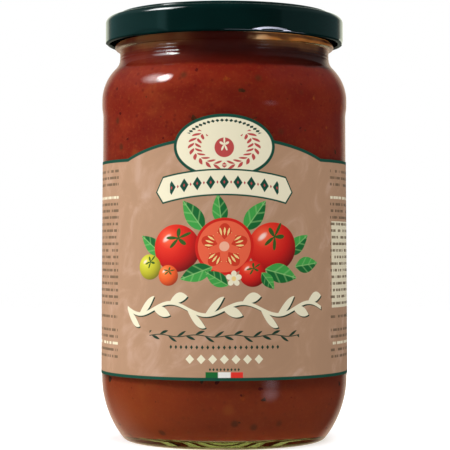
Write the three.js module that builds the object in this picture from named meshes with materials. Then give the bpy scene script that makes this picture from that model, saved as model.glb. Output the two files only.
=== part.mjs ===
// A shut glass jar of tomato sauce: the clear jar, the sauce in it, a twist-off steel lid and a paper wrap label.
// Millimetres, +Z up. The origin is the middle of the base, and the front of the label faces -Y.
import * as THREE from 'three';

// Round pieces
const SEGMENTS = 48;        // straight sides around every round piece
const ARC_STEPS = 2;        // half the straight steps along each arc of a profile
const CLEARANCE = 0.3;      // gap between pieces that touch

// Glass jar
const BODY_RADIUS = 44;
const WALL = 2.3;
const FOOT_INNER_RADIUS = 30.5;
const FOOT_CORNER = 3;
const PUSH_UP = 1.8;        // height of the dished middle of the base
const FLOOR_HEIGHT = 4.2;   // height of the inside of the base
const FLOOR_CORNER = 9;
const HEEL_RADIUS = 35.5;
const HEEL_TOP = 22.9;
const PANEL_FOOT_RADIUS = 44.1;
const PANEL_FOOT = 24;
const PANEL_HEAD_RADIUS = 43.6;
const PANEL_HEAD = 116.5;
const SHOULDER_FOOT = 118.5;
const SHOULDER_START = 121.5;
const SHOULDER_RADIUS = 15.8;
const NECK_RADIUS = 37.5;
const NECK_FILLET = 6.2;
const BEAD_RADIUS = 39.4;   // transfer ring just below the lid
const BEAD_HALF_HEIGHT = 1.2;
const BEAD_HEIGHT = 140;
const FINISH_RADIUS = 38.4;
const RIM_HEIGHT = 150.5;

// Sauce
const SAUCE_LEVEL = 142.5;

// Lid
const LID_RADIUS = 42.75;
const LID_FOOT = 141.7;
const LID_TOP = 152.6;
const LID_SHEET = 0.5;
const LID_CURL = 0.8;       // radius of the rolled lower edge
const LID_CORNER = 2.1;
const LID_SHOULDER = 151.4;
const RING_OUTER_RADIUS = 38.9;
const RING_INNER_RADIUS = 35;
const RING_SLOPE = 1;
const LID_PANEL = 151.6;
const BUTTON_RADIUS = 13;
const BUTTON_DEPTH = 0.5;
const LUG_COUNT = 6;
const LUG_TURN = THREE.MathUtils.degToRad(22.5);
const LUG_HALF_ANGLE = THREE.MathUtils.degToRad(10);
const LUG_DEPTH = 0.5;
const LUG_HEIGHT = 3.2;

// Label, measured on the flat sheet: across from the front's middle line, and up from the base
const LABEL_SHEET = 0.2;
const LABEL_FOOT = 24.2;
const LABEL_SIDE_TOP = 99.4;
const LABEL_BACK_GAP = 8;
const ARCH_RADIUS = 106;
const ARCH_CROWN = 106.4;
const OVAL_HALF_WIDTH = 17.6;
const OVAL_HALF_HEIGHT = 10.9;
const OVAL_HEIGHT = 102.8;
const LABEL_COLUMN = 2.5;   // widest strip of the bent sheet

const QUARTER = Math.PI / 2;

const glassMaterial = new THREE.MeshStandardMaterial({
  name: 'clear_glass', color: 0xdfeae2, roughness: 0.03, metalness: 0, transparent: true, opacity: 0.35,
});
const sauceMaterial = new THREE.MeshStandardMaterial({
  name: 'tomato_sauce', color: 0x8a2f18, roughness: 0.35, metalness: 0,
});
const lidMaterial = new THREE.MeshStandardMaterial({
  name: 'green_lacquer', color: 0x0a372d, roughness: 0.25, metalness: 0.3,
});
const labelMaterial = new THREE.MeshStandardMaterial({
  name: 'tan_paper', color: 0xb28c73, roughness: 0.8, metalness: 0,
});

// Angles and centres where the arcs of the wall run smoothly into each other, for a wall moved in by an offset.
// The heel arc meets a corner that stands on the base; the shoulder arc meets the hollow of the neck.
function wallArcs(offset, cornerRadius, cornerFoot) {
  const heel = new THREE.Vector2(BODY_RADIUS - HEEL_RADIUS, HEEL_TOP);
  const heelReach = HEEL_RADIUS - offset - cornerRadius;
  const heelAngle = Math.asin((HEEL_TOP - cornerFoot - cornerRadius) / heelReach);
  const corner = new THREE.Vector2(heel.x + heelReach * Math.cos(heelAngle), cornerFoot + cornerRadius);
  const shoulder = new THREE.Vector2(BODY_RADIUS - SHOULDER_RADIUS, SHOULDER_START);
  const neckX = NECK_RADIUS + NECK_FILLET;
  const reach = SHOULDER_RADIUS + NECK_FILLET;
  const shoulderAngle = Math.acos((neckX - shoulder.x) / reach);
  const neck = new THREE.Vector2(neckX, SHOULDER_START + reach * Math.sin(shoulderAngle));
  return { heel, heelAngle, corner, shoulder, shoulderAngle, neck };
}

// Turns a profile of radius and height about the Z axis, starting at the front.
function turned(points) {
  return new THREE.LatheGeometry(points, SEGMENTS).rotateX(QUARTER);
}

// The inside of the jar from its mouth down to the middle of its floor, moved further in by a gap.
function cavity(gap, topHeight) {
  const offset = WALL + gap;
  const { heel, heelAngle, corner, shoulder, shoulderAngle, neck } = wallArcs(
    offset, FLOOR_CORNER, FLOOR_HEIGHT + gap,
  );
  const path = new THREE.Path();
  path.moveTo(NECK_RADIUS - offset, topHeight);
  path.absarc(neck.x, neck.y, NECK_FILLET + offset, Math.PI, Math.PI + shoulderAngle, false);
  path.absarc(shoulder.x, shoulder.y, SHOULDER_RADIUS - offset, shoulderAngle, 0, true);
  path.absarc(heel.x, heel.y, HEEL_RADIUS - offset, 0, -heelAngle, true);
  path.absarc(corner.x, corner.y, FLOOR_CORNER, -heelAngle, -QUARTER, true);
  path.lineTo(0, FLOOR_HEIGHT + gap);
  return path.getPoints(ARC_STEPS);
}

function glassGeometry() {
  const { heel, heelAngle, corner, shoulder, shoulderAngle, neck } = wallArcs(0, FOOT_CORNER, 0);
  const boreRadius = NECK_RADIUS - WALL;
  const rimRadius = (FINISH_RADIUS - boreRadius) / 2;
  const path = new THREE.Path();
  path.moveTo(0, PUSH_UP);
  path.quadraticCurveTo(FOOT_INNER_RADIUS / 2, PUSH_UP, FOOT_INNER_RADIUS, 0);
  path.absarc(corner.x, corner.y, FOOT_CORNER, -QUARTER, -heelAngle, false);
  path.absarc(heel.x, heel.y, HEEL_RADIUS, -heelAngle, 0, false);
  path.lineTo(PANEL_FOOT_RADIUS, PANEL_FOOT);
  path.lineTo(PANEL_HEAD_RADIUS, PANEL_HEAD);
  path.lineTo(BODY_RADIUS, SHOULDER_FOOT);
  path.absarc(shoulder.x, shoulder.y, SHOULDER_RADIUS, 0, shoulderAngle, false);
  path.absarc(neck.x, neck.y, NECK_FILLET, Math.PI + shoulderAngle, Math.PI, true);
  path.absarc(BEAD_RADIUS - BEAD_HALF_HEIGHT, BEAD_HEIGHT, BEAD_HALF_HEIGHT, -QUARTER, QUARTER, false);
  path.lineTo(FINISH_RADIUS, BEAD_HEIGHT + BEAD_HALF_HEIGHT);
  path.absarc(boreRadius + rimRadius, RIM_HEIGHT - rimRadius, rimRadius, 0, Math.PI, false);
  return turned([...path.getPoints(ARC_STEPS), ...cavity(0, BEAD_HEIGHT)]);
}

function sauceGeometry() {
  const wall = cavity(CLEARANCE, SAUCE_LEVEL).reverse();
  return turned([...wall, new THREE.Vector2(0, SAUCE_LEVEL)]);
}

// How far the skirt is pressed in at a point: one smooth dent above the rolled edge at each lug.
function lugDent(angle, height) {
  const pitch = 2 * Math.PI / LUG_COUNT;
  const fromLug = THREE.MathUtils.euclideanModulo(angle - LUG_TURN + pitch / 2, pitch) - pitch / 2;
  const across = Math.max(0, 1 - (fromLug / LUG_HALF_ANGLE) ** 2);
  const upward = Math.max(0, 1 - (height - LID_FOOT) / LUG_HEIGHT);
  return LUG_DEPTH * across * Math.min(1, 2 * upward);
}

// The lid's pressed sheet: over the top from the middle, round the corner, down the skirt, round the rolled
// edge, and back along the underside.
function lidGeometry() {
  const cornerRadius = LID_RADIUS - LID_CORNER;
  const cornerHeight = LID_SHOULDER - LID_CORNER;
  const innerSkirt = LID_RADIUS - LID_SHEET;
  const lugTop = LID_FOOT + LUG_HEIGHT;
  const path = new THREE.Path();
  path.moveTo(0, LID_PANEL - BUTTON_DEPTH);
  path.lineTo(BUTTON_RADIUS - RING_SLOPE, LID_PANEL - BUTTON_DEPTH / 2);
  path.lineTo(BUTTON_RADIUS, LID_PANEL);
  path.lineTo(RING_INNER_RADIUS - RING_SLOPE, LID_PANEL);
  path.lineTo(RING_INNER_RADIUS, LID_TOP);
  path.lineTo(RING_OUTER_RADIUS - RING_SLOPE, LID_TOP);
  path.lineTo(RING_OUTER_RADIUS, LID_SHOULDER);
  path.absarc(cornerRadius, cornerHeight, LID_CORNER, QUARTER, 0, true);
  path.lineTo(LID_RADIUS, lugTop);
  path.lineTo(LID_RADIUS, LID_FOOT + LUG_HEIGHT / 2);
  path.absarc(LID_RADIUS - LID_CURL, LID_FOOT + LID_CURL, LID_CURL, 0, -Math.PI, true);
  path.lineTo(innerSkirt, LID_FOOT + LUG_HEIGHT / 2 + LID_SHEET);
  path.lineTo(innerSkirt, lugTop);
  path.absarc(cornerRadius, cornerHeight, LID_CORNER - LID_SHEET, 0, QUARTER, false);
  path.lineTo(RING_OUTER_RADIUS - LID_SHEET, LID_SHOULDER - LID_SHEET);
  path.lineTo(RING_OUTER_RADIUS - RING_SLOPE, LID_TOP - LID_SHEET);
  path.lineTo(RING_INNER_RADIUS, LID_TOP - LID_SHEET);
  path.lineTo(RING_INNER_RADIUS - LID_SHEET, LID_PANEL - LID_SHEET);
  path.lineTo(BUTTON_RADIUS, LID_PANEL - LID_SHEET);
  path.lineTo(0, LID_PANEL - BUTTON_DEPTH - LID_SHEET);
  const geometry = turned(path.getPoints(ARC_STEPS).reverse());
  const position = geometry.attributes.position;
  const point = new THREE.Vector3();
  for (let i = 0; i < position.count; i += 1) {
    point.fromBufferAttribute(position, i);
    const radius = Math.hypot(point.x, point.y);
    if (radius > RING_OUTER_RADIUS) {
      const keep = 1 - lugDent(Math.atan2(point.x, -point.y), point.z) / radius;
      position.setXY(i, point.x * keep, point.y * keep);
    }
  }
  return geometry;
}

// Upper edge of the label: level sides, a shallow arch across the front, and an oval standing up from its middle.
function labelTop(across) {
  const arch = ARCH_CROWN - ARCH_RADIUS + Math.sqrt(Math.max(0, ARCH_RADIUS ** 2 - across ** 2));
  const rise = Math.sqrt(Math.max(0, 1 - (across / OVAL_HALF_WIDTH) ** 2));
  const oval = rise > 0 ? OVAL_HEIGHT + OVAL_HALF_HEIGHT * rise : LABEL_SIDE_TOP;
  return Math.max(LABEL_SIDE_TOP, arch, oval);
}

// Places across the sheet where its strips begin and end, with one on each corner of the upper edge.
function labelColumns() {
  const archFall = ARCH_RADIUS - ARCH_CROWN + LABEL_SIDE_TOP;
  const kink = Math.sqrt(ARCH_RADIUS ** 2 - archFall ** 2);
  const end = Math.PI * PANEL_FOOT_RADIUS - LABEL_BACK_GAP / 2;
  const corners = [-end, -kink, -OVAL_HALF_WIDTH, OVAL_HALF_WIDTH, kink, end];
  const columns = [-end];
  for (let i = 1; i < corners.length; i += 1) {
    const steps = Math.ceil((corners[i] - corners[i - 1]) / LABEL_COLUMN);
    for (let step = 1; step <= steps; step += 1) {
      columns.push(THREE.MathUtils.lerp(corners[i - 1], corners[i], step / steps));
    }
  }
  return columns;
}

// A flat strip of paper, cut to its outline and bent round the slightly tapered panel of the jar.
function labelGeometry() {
  const columns = labelColumns();
  const geometry = new THREE.BoxGeometry(columns.length - 1, 1, 1, columns.length - 1, 1, 1);
  const position = geometry.attributes.position;
  for (let i = 0; i < position.count; i += 1) {
    const across = columns[Math.round(position.getX(i) + (columns.length - 1) / 2)];
    const height = position.getY(i) > 0 ? labelTop(across) : LABEL_FOOT;
    const panelRadius = THREE.MathUtils.mapLinear(
      height, PANEL_FOOT, PANEL_HEAD, PANEL_FOOT_RADIUS, PANEL_HEAD_RADIUS,
    );
    const radius = panelRadius + CLEARANCE + (position.getZ(i) > 0 ? LABEL_SHEET : 0);
    const angle = across / PANEL_FOOT_RADIUS;
    position.setXYZ(i, radius * Math.sin(angle), -radius * Math.cos(angle), height);
  }
  return geometry;
}

function piece(name, geometry, material) {
  const mesh = new THREE.Mesh(geometry, material);
  mesh.name = name;
  return mesh;
}

const jar = new THREE.Group();
jar.add(
  piece('jar_glass', glassGeometry(), glassMaterial),
  piece('sauce', sauceGeometry(), sauceMaterial),
  piece('lid', lidGeometry(), lidMaterial),
  piece('label', labelGeometry(), labelMaterial),
);

export default jar;
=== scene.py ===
"""Dresses a shut jar of tomato sauce with fine glass, flecked sauce, a lacquered lid and a printed label.

The file is laid out as an add-on and run as a script. Sizes are in metres, and the print is in millimetres.
The jar stands on Z = 0 at the origin, and the middle of its label faces -Y.
"""
import math
from typing import NamedTuple

import bpy
import numpy as np
from bpy.props import FloatProperty, FloatVectorProperty, IntProperty, PointerProperty
from bpy.types import Operator, Panel, PropertyGroup
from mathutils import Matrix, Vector


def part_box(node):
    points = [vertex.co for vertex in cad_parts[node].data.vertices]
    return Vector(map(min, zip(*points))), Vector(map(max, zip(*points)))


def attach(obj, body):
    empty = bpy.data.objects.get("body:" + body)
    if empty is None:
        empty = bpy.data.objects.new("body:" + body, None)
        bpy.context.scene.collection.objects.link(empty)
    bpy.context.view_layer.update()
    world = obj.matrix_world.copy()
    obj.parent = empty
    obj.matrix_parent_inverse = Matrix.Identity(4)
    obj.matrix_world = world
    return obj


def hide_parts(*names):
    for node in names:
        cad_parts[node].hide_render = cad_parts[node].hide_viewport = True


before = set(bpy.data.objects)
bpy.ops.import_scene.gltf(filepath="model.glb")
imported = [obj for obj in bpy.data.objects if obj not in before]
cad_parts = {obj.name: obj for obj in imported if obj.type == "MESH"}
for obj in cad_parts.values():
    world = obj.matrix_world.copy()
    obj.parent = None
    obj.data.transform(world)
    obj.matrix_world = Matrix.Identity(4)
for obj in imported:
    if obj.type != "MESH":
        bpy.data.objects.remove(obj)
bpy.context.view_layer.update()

bl_info = {
    "name": "Sauce Jar Dresser",
    "version": (1, 0, 0),
    "blender": (4, 5, 0),
    "location": "View3D > Sidebar > Sauce Jar",
    "description": "Builds the fine surfaces and finishes of a filled glass jar",
    "category": "Object",
}

MM = 0.001
TURN = 2.0 * math.pi
QUARTER = math.pi / 2.0
WHITE = (1.0, 1.0, 1.0)
BLACK = (0.0, 0.0, 0.0)
SEED = 7

# The screen's own colour curve
SRGB_TOP = 255.0
SRGB_KNEE = 0.04045
SRGB_SLOPE = 12.92
SRGB_LIFT = 0.055
SRGB_POWER = 2.4

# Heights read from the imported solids
RIM_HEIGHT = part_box("jar_glass")[1].z
LID_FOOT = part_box("lid")[0].z
LID_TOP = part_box("lid")[1].z
SAUCE_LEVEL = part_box("sauce")[1].z
LABEL_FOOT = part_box("label")[0].z

# Mesh fineness
ROUND_SIDES = 240
LID_SIDES = 480
FLOOR_SIDES = 96
ARC_STEPS = 14
NECK_STEPS = 72
SKIRT_STEPS = 60
HOLLOW_STEPS = 6
FOOT_STEPS = 4
HIDDEN_STEPS = 4
FLAT_STEPS = 2
BODY_ROWS = 120
LABEL_ROWS = 40
LABEL_COLUMNS = 300
OVAL_COLUMNS = 90
FLOOR_RINGS = 40
SAME_POINT = 1e-7
COLUMN_DIGITS = 6
CREASE = math.radians(50.0)

# Turns that light may take inside the thick glass
LIGHT_BOUNCES = 20


def srgb(red, green, blue):
    """Linear colour of an eight-bit screen colour, by the screen's own curve."""
    parts = np.array((red, green, blue)) / SRGB_TOP
    curved = ((parts + SRGB_LIFT) / (1.0 + SRGB_LIFT)) ** SRGB_POWER
    return tuple(float(part) for part in np.where(parts <= SRGB_KNEE, parts / SRGB_SLOPE, curved))


def length(name, description, default):
    """A size that the user may change."""
    return FloatProperty(name=name, description=description, default=default, unit="LENGTH", precision=5)


def colour(name, description, default):
    """A colour that the user may change."""
    return FloatVectorProperty(name=name, description=description, default=default, size=3, min=0.0,
                               max=1.0, subtype="COLOR")


def number(name, description, default):
    """A plain number that the user may change."""
    return FloatProperty(name=name, description=description, default=default)


def count_of(name, description, default):
    """A whole number, of at least one, that the user may change."""
    return IntProperty(name=name, description=description, default=default, min=1)


class JarSizes(PropertyGroup):
    """Sizes and tint of the glass jar."""

    body_radius: length("Body radius", "Radius of the shoulder's widest ring", 44.0 * MM)
    wall: length("Wall", "Thickness of the glass wall", 2.3 * MM)
    foot_inner_radius: length("Foot inner radius", "Where the dished base starts", 33.5 * MM)
    foot_corner: length("Foot corner", "Rounding between foot and heel", 3.0 * MM)
    push_up: length("Push-up", "Height of the dished middle of the base", 3.0 * MM)
    floor_height: length("Floor", "Height of the inside of the base", 4.2 * MM)
    floor_corner: length("Floor corner", "Rounding inside the base", 9.0 * MM)
    heel_radius: length("Heel radius", "Radius of the rounded heel", 35.5 * MM)
    heel_top: length("Heel top", "Height where the heel ends", 22.9 * MM)
    panel_foot_radius: length("Panel foot radius", "Radius at the label panel's lower end", 44.1 * MM)
    panel_foot: length("Panel foot", "Height of the label panel's lower end", 24.0 * MM)
    panel_head_radius: length("Panel head radius", "Radius at the label panel's upper end", 43.6 * MM)
    panel_head: length("Panel head", "Height of the label panel's upper end", 116.5 * MM)
    panel_ease: length("Panel ease", "How far the step over the panel runs out at its ends", 1.0 * MM)
    shoulder_foot: length("Shoulder foot", "Height where the recess of the panel ends", 118.5 * MM)
    shoulder_start: length("Shoulder start", "Height where the shoulder turns in", 121.5 * MM)
    shoulder_radius: length("Shoulder radius", "Rounding of the shoulder", 15.8 * MM)
    neck_radius: length("Neck radius", "Narrowest radius, under the bead", 37.5 * MM)
    neck_fillet: length("Neck fillet", "Hollow rounding between shoulder and neck", 6.2 * MM)
    bead_radius: length("Bead radius", "Radius of the transfer bead", 39.4 * MM)
    bead_half: length("Bead half height", "Half the height of the transfer bead", 1.15 * MM)
    bead_height: length("Bead height", "Height of the transfer bead", 140.8 * MM)
    bead_hollow: length("Bead hollow", "Hollow rounding under the transfer bead", 0.45 * MM)
    finish_radius: length("Finish radius", "Radius of the mouth under the lid", 38.4 * MM)
    ridge_count: count_of("Ridges", "Number of thin mould ridges on the neck", 4)
    ridge_height: length("Ridge height", "Height of the lowest ridge", 136.05 * MM)
    ridge_pitch: length("Ridge pitch", "From one ridge to the next", 1.15 * MM)
    ridge_swell: length("Ridge swell", "How far a ridge stands out", 0.11 * MM)
    refraction: number("Refraction", "Index of refraction of the glass", 1.5)
    clear: colour("Clear", "Share of a lamp's light that the glass lets through", (0.93, 0.95, 0.93))
    tint: colour("Tint", "Colour that thick glass takes on", (0.55, 0.58, 0.12))
    tint_density: number("Tint density", "How fast the tint grows with depth, per metre", 42.0)


class SauceLook(PropertyGroup):
    """Fit and colours of the sauce, and the amount of what floats in it."""

    reach: length("Reach", "How far the sauce reaches into the wall, so that no air gap shows", 0.15 * MM)
    floor_gap: length("Floor gap", "Gap between sauce and the jar's floor", 0.05 * MM)
    floor_bevel: length("Floor bevel", "Height above the floor where sauce and glass meet", 0.35 * MM)
    floor_run: length("Floor run", "Height over which the sauce draws away from the glass", 0.4 * MM)
    deep: colour("Deep red", "Darker streaks of the sauce", srgb(124, 25, 13))
    bright: colour("Bright red", "Lighter streaks of the sauce", srgb(144, 44, 20))
    # Also laid over the heel, where it is partly painted light
    orange: colour("Orange", "Pulp near the glass", srgb(158, 76, 32))
    # Painted shadow of the lid: the sauce in the neck is painted darker
    neck: colour("Neck", "Dark sauce in the neck", srgb(84, 16, 9))
    # Painted shade: the deepest part of the painted lid shadow, at the right of the neck
    dark_neck_shade: colour("Dark neck", "Darkest sauce, at the right of the neck", srgb(40, 12, 9))
    # Oil under the lid, painted lighter at the sides where light comes through the neck: partly its own
    # colour, partly painted light
    oil_and_light: colour("Oily band", "Oil gathered under the lid", srgb(186, 124, 82))
    # Painted glow: emission that stands in for light shining through the oil under the lid
    painted_gleam: colour("Gleam", "Light through the oil, near the middle", srgb(206, 164, 122))
    gold: colour("Gold", "Light through the oil, at the side", srgb(152, 92, 38))
    glow: number("Glow", "Strength of the light through the oil", 0.8)
    herb: colour("Herb", "Dark green herb flecks", srgb(78, 40, 18))
    # Also the colour of the painted shade on the right side of the sauce
    skin: colour("Skin", "Dark red bits of tomato skin", srgb(98, 17, 12))
    carrot: colour("Carrot", "Orange bits of vegetable", srgb(152, 62, 24))
    herb_count: count_of("Herb flecks", "Number of herb flecks", 120)
    skin_count: count_of("Skin bits", "Number of skin bits", 260)
    carrot_count: count_of("Carrot bits", "Number of orange bits", 30)


class LidSizes(PropertyGroup):
    """Sizes and lacquer of the twist-off lid."""

    radius: length("Radius", "Outer radius of the skirt", 42.75 * MM)
    sheet: length("Sheet", "Thickness of the pressed sheet", 0.4 * MM)
    curl: length("Curl", "Radius of the rolled lower edge", 0.8 * MM)
    corner: length("Corner", "Rounding between skirt and top", 2.1 * MM)
    shoulder: length("Shoulder", "Height of the ledge round the raised ring", 151.4 * MM)
    ring_outer: length("Ring outer radius", "Outside of the raised ring", 38.9 * MM)
    ring_fall: length("Ring fall", "Width of the slope on the ring's outside", 0.9 * MM)
    ring_inner: length("Ring inner radius", "Inside of the raised ring", 35.0 * MM)
    ring_rise: length("Ring rise", "Width of the slope on the ring's inside", 1.0 * MM)
    panel: length("Panel", "Height of the sunken middle", 151.6 * MM)
    button_radius: length("Button radius", "Radius of the safety button", 13.0 * MM)
    button_depth: length("Button depth", "How far the vacuum draws the button down", 0.5 * MM)
    dip_radius: length("Dip radius", "Where the button's gentle slope turns steep", 11.05 * MM)
    dip_rise: length("Dip rise", "Height of that turn over the button's middle", 0.175 * MM)
    lug_count: count_of("Lugs", "Number of pressed lugs", 6)
    lug_turn: FloatProperty(name="Lug turn", description="Turn of the first lug from the front",
                            default=math.radians(22.5), subtype="ANGLE")
    lug_width: length("Lug half width", "Half the width of a lug's dent", 8.0 * MM)
    lug_height: length("Lug height", "Height of a lug's dent above the lower edge", 1.9 * MM)
    lug_end: length("Lug end", "Height of a lug's dent at its two ends", 0.85 * MM)
    lug_depth: length("Lug depth", "How far a lug is pressed in", 0.38 * MM)
    lug_slope: length("Lug slope", "Height of the slope at the upper end of a dent", 0.95 * MM)
    lacquer: colour("Lacquer", "Dark green paint", srgb(1, 23, 21))


class LabelLook(PropertyGroup):
    """Outline and ground of the paper label."""

    sheet: length("Sheet", "Thickness of the paper", 0.12 * MM)
    glue: length("Glue", "Gap between paper and glass", 0.03 * MM)
    back_gap: length("Back gap", "Bare glass between the ends of the label", 8.0 * MM)
    side_top: length("Side top", "Height of the level sides", 99.4 * MM)
    arch_radius: length("Arch radius", "Radius of the arch across the front", 106.0 * MM)
    arch_crown: length("Arch crown", "Height of the arch's middle", 106.4 * MM)
    oval_half_width: length("Oval half width", "Half the width of the oval", 17.6 * MM)
    oval_half_height: length("Oval half height", "Half the height of the oval", 10.9 * MM)
    oval_height: length("Oval height", "Height of the oval's middle", 102.8 * MM)
    paper: colour("Paper", "Tan ground", srgb(183, 144, 114))
    swirl: colour("Swirl", "Pale swirls in the ground", srgb(208, 178, 164))


class StageLook(PropertyGroup):
    """Camera and floor."""

    camera_distance: length("Camera distance", "From the jar's axis", 600.0 * MM)
    camera_height: length("Camera height", "Above the floor", 68.3 * MM)
    aim_height: length("Aim height", "Height on the axis that the camera looks at", 77.0 * MM)
    aim_side: length("Aim side", "How far the camera looks to the right of the axis", 0.25 * MM)
    lens: number("Lens", "Focal length in millimetres", 132.9)
    floor_drop: length("Floor drop", "Hair's breadth between jar and floor", 0.05 * MM)
    floor_radius: length("Floor radius", "Where the floor ends", 1.6)
    floor: colour("Floor", "Pale floor", (0.7, 0.7, 0.7))
    floor_glow: number("Floor glow", "Light that the floor gives off", 0.5)


# Curves and meshes

def smoothstep(low, high, value):
    """0 below low, 1 above high, and the cubic 3t^2 - 2t^3 between them."""
    t = np.clip((value - low) / (high - low), 0.0, 1.0)
    return t * t * (3.0 - 2.0 * t)


def arc(centre, radius, start, end, steps=ARC_STEPS):
    """Points on a circle about centre, from one angle to another, as rows of radius and height."""
    angles = np.linspace(start, end, steps + 1)
    return np.stack([centre[0] + radius * np.cos(angles), centre[1] + radius * np.sin(angles)], -1)


def line(start, end, steps=ARC_STEPS):
    """Evenly spaced points from start to end."""
    return np.linspace(start, end, steps + 1)


def ramp(start, end, steps):
    """Points on a cosine slope from start to end, level at both."""
    share = np.linspace(0.0, 1.0, steps + 1)
    rise = (1.0 - np.cos(math.pi * share)) / 2.0
    return np.stack([start[0] + share * (end[0] - start[0]), start[1] + rise * (end[1] - start[1])], -1)


def joined(*runs):
    """One profile from several runs of points, without the points that repeat at their joins."""
    points = np.concatenate([np.atleast_2d(np.asarray(run, float)) for run in runs])
    fresh = np.linalg.norm(np.diff(points, axis=0), axis=1) > SAME_POINT
    return points[np.concatenate([[True], fresh])]


def grid_quads(rows, columns, wrap_columns):
    """Corner numbers of the quads between neighbours in a grid of points that is numbered row by row."""
    across = np.arange(columns if wrap_columns else columns - 1)
    i, j = np.meshgrid(np.arange(rows - 1), across, indexing="ij")
    right = (j + 1) % columns
    low = i * columns
    high = low + columns
    return np.stack([low + j, low + right, high + right, high + j], -1).reshape(-1, 4)


def revolved(profile, sides=ROUND_SIDES, press=None):
    """Points and faces of a profile of radius and height turned about Z, beginning at the front.

    A point at angle a is (r sin a, -r cos a, z). Ends of the profile on the axis become one point each,
    joined to the nearest ring by triangles. press(angle, radius, height) may draw points in to the axis.
    """
    rings = profile[profile[:, 0] > 0.0]
    angle = np.linspace(0.0, TURN, sides, endpoint=False)[None, :]
    radius = np.repeat(rings[:, :1], sides, 1)
    height = np.repeat(rings[:, 1:], sides, 1)
    if press is not None:
        radius = radius - press(np.repeat(angle, len(rings), 0), radius, height)
    points = np.stack([radius * np.sin(angle), -radius * np.cos(angle), height], -1).reshape(-1, 3)
    faces = grid_quads(len(rings), sides, True).tolist()
    around = np.arange(sides)
    following = (around + 1) % sides
    last = (len(rings) - 1) * sides
    caps = ((profile[0], following, around), (profile[-1], last + around, last + following))
    ends = []
    for end, first, second in caps:
        if end[0] == 0.0:
            pole = np.full(sides, len(points) + len(ends))
            faces += np.stack([pole, first, second], -1).tolist()
            ends.append((0.0, 0.0, end[1]))
    return np.concatenate([points, np.reshape(ends, (-1, 3))]), faces


def new_mesh(name, points, faces, material):
    """A mesh object in the scene that wears a material."""
    mesh = bpy.data.meshes.new(name)
    mesh.from_pydata(points.tolist(), [], faces)
    mesh.materials.append(material)
    thing = bpy.data.objects.new(name, mesh)
    bpy.context.scene.collection.objects.link(thing)
    return thing


def new_piece(name, points, faces, material, slot, *nodes):
    """A smooth-shaded mesh object that rides on the jar, wears a material and stands for CAD nodes."""
    piece = new_mesh(name, points, faces, material)
    mesh = piece.data
    mesh.polygons.foreach_set("use_smooth", np.ones(len(mesh.polygons), bool))
    mesh.validate()
    mesh.set_sharp_from_angle(angle=CREASE)
    mesh.update()
    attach(piece, "root")
    if nodes:
        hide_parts(*nodes)
    return piece


# Shader expressions

# Sockets of a Mix node that blends colours
MIX_SHARE = 0
MIX_UNDER = 6
MIX_OVER = 7
MIX_RESULT = 2


class Value:
    """A socket of a node tree. Arithmetic on it adds Math nodes, and node() adds any other kind."""

    def __init__(self, tree, socket=None):
        self.tree = tree
        self.socket = socket

    def node(self, kind, settings=None, inputs=None, output=0):
        """Adds a node with its settings and its inputs, each a value or a link. Gives one output."""
        made = self.tree.nodes.new(kind)
        for name, setting in (settings or {}).items():
            setattr(made, name, setting)
        for key, given in (inputs or {}).items():
            if isinstance(given, Value):
                self.tree.links.new(given.socket, made.inputs[key])
            else:
                made.inputs[key].default_value = given
        return Value(self.tree, made.outputs[output])

    def other(self, output):
        """Another output of the same node."""
        return Value(self.tree, self.socket.node.outputs[output])

    def math(self, operation, *others, clamp=False):
        """A Math node whose first term is this value."""
        settings = {"operation": operation, "use_clamp": clamp}
        return self.node("ShaderNodeMath", settings, dict(enumerate((self, *others))))

    def __add__(self, other):
        return self.math("ADD", other)

    __radd__ = __add__

    def __sub__(self, other):
        return self.math("SUBTRACT", other)

    def __rsub__(self, other):
        return self.node("ShaderNodeMath", {"operation": "SUBTRACT"}, {0: other, 1: self})

    def __mul__(self, other):
        return self.math("MULTIPLY", other)

    __rmul__ = __mul__

    def __truediv__(self, other):
        return self.math("DIVIDE", other)

    def __abs__(self):
        return self.math("ABSOLUTE")

    def mix(self, under, over):
        """Blends two colours, with this value as the share of the second."""
        shade = [given if isinstance(given, Value) else (*given, 1.0) for given in (under, over)]
        return self.node("ShaderNodeMix", {"data_type": "RGBA", "clamp_factor": True},
                         {MIX_SHARE: self, MIX_UNDER: shade[0], MIX_OVER: shade[1]}, MIX_RESULT)

    def step(self, low, high):
        """0 below low and 1 above high, with a smooth rise between them."""
        return self.node("ShaderNodeMapRange", {"interpolation_type": "SMOOTHSTEP"},
                         {"Value": self, "From Min": low, "From Max": high})

    def colours(self, stops):
        """A colour ramp over this value, from pairs of a place and a colour."""
        shade = self.node("ShaderNodeValToRGB", None, {0: self})
        elements = shade.socket.node.color_ramp.elements
        for place, _ in stops[len(elements):]:
            elements.new(place)
        for element, (place, hue) in zip(elements, stops):
            element.position = place
            element.color = (*hue, 1.0)
        return shade


def new_material(name):
    """A material with only its output and a Principled shader, and a Value to start expressions."""
    material = bpy.data.materials.new(name)
    material.use_nodes = True
    tree = material.node_tree
    shader = next(node for node in tree.nodes if node.type == "BSDF_PRINCIPLED")
    return material, shader, Value(tree)


def feed(shader, values):
    """Sets or links inputs of a shader by name."""
    for name, given in values.items():
        if isinstance(given, Value):
            given.tree.links.new(given.socket, shader.inputs[name])
        else:
            shader.inputs[name].default_value = given


def object_place(start):
    """A point's place in the object's own coordinates."""
    return start.node("ShaderNodeTexCoord", output="Object")


def parts_of(vector):
    """First, second and third part of a vector."""
    first = vector.node("ShaderNodeSeparateXYZ", None, {0: vector})
    return first, first.other(1), first.other(2)


def size_of(vector):
    """Length of a vector."""
    return vector.node("ShaderNodeVectorMath", {"operation": "LENGTH"}, {0: vector}, 1)


def distance(vector, point):
    """Distance of a vector from a point."""
    return vector.node("ShaderNodeVectorMath", {"operation": "DISTANCE"}, {0: vector, 1: point}, 1)


def darker(shade, share):
    """A share of a colour."""
    return tuple(part * share for part in shade)


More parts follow.
